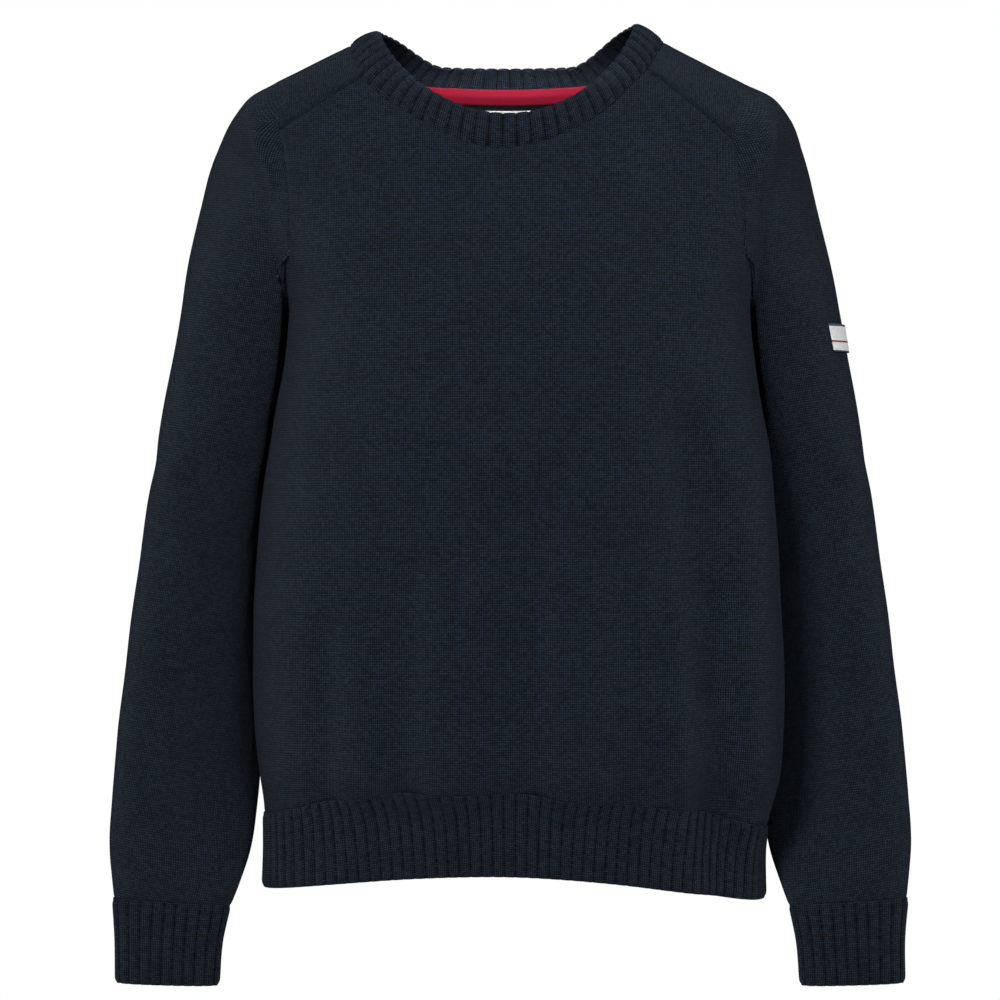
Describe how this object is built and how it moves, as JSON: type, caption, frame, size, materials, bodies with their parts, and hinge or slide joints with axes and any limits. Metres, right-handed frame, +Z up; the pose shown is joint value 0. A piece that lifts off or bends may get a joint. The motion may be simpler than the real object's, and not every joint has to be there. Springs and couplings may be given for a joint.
{
  "type": "crewneck sweater",
  "caption": "Knitted crewneck sweater with saddle shoulders, long sleeves and ribbed collar, cuffs and hem, filled out as worn, with a hollow body and sleeves.",
  "frame": {"origin": "between the shoulders, at the height where the neck seam crosses them, which is where the wearer carries the garment", "axes": "+Z up, +X towards the wearer's left, +Y towards the back; the front faces -Y"},
  "size_m": [0.6395, 0.2383, 0.7677],
  "materials": {
    "knit": "matte",
    "tape": "matte",
    "label": "matte"
  },
  "bodies": {
    "root": {"front_panel": "knit", "back_panel": "knit", "right_sleeve": "knit", "left_sleeve": "knit", "hem_front": "knit", "hem_back": "knit", "right_cuff": "knit", "left_cuff": "knit", "collar": "knit", "neck_tape": "tape", "neck_label": "label", "sleeve_badge": "label"}
  },
  "joints": []
}
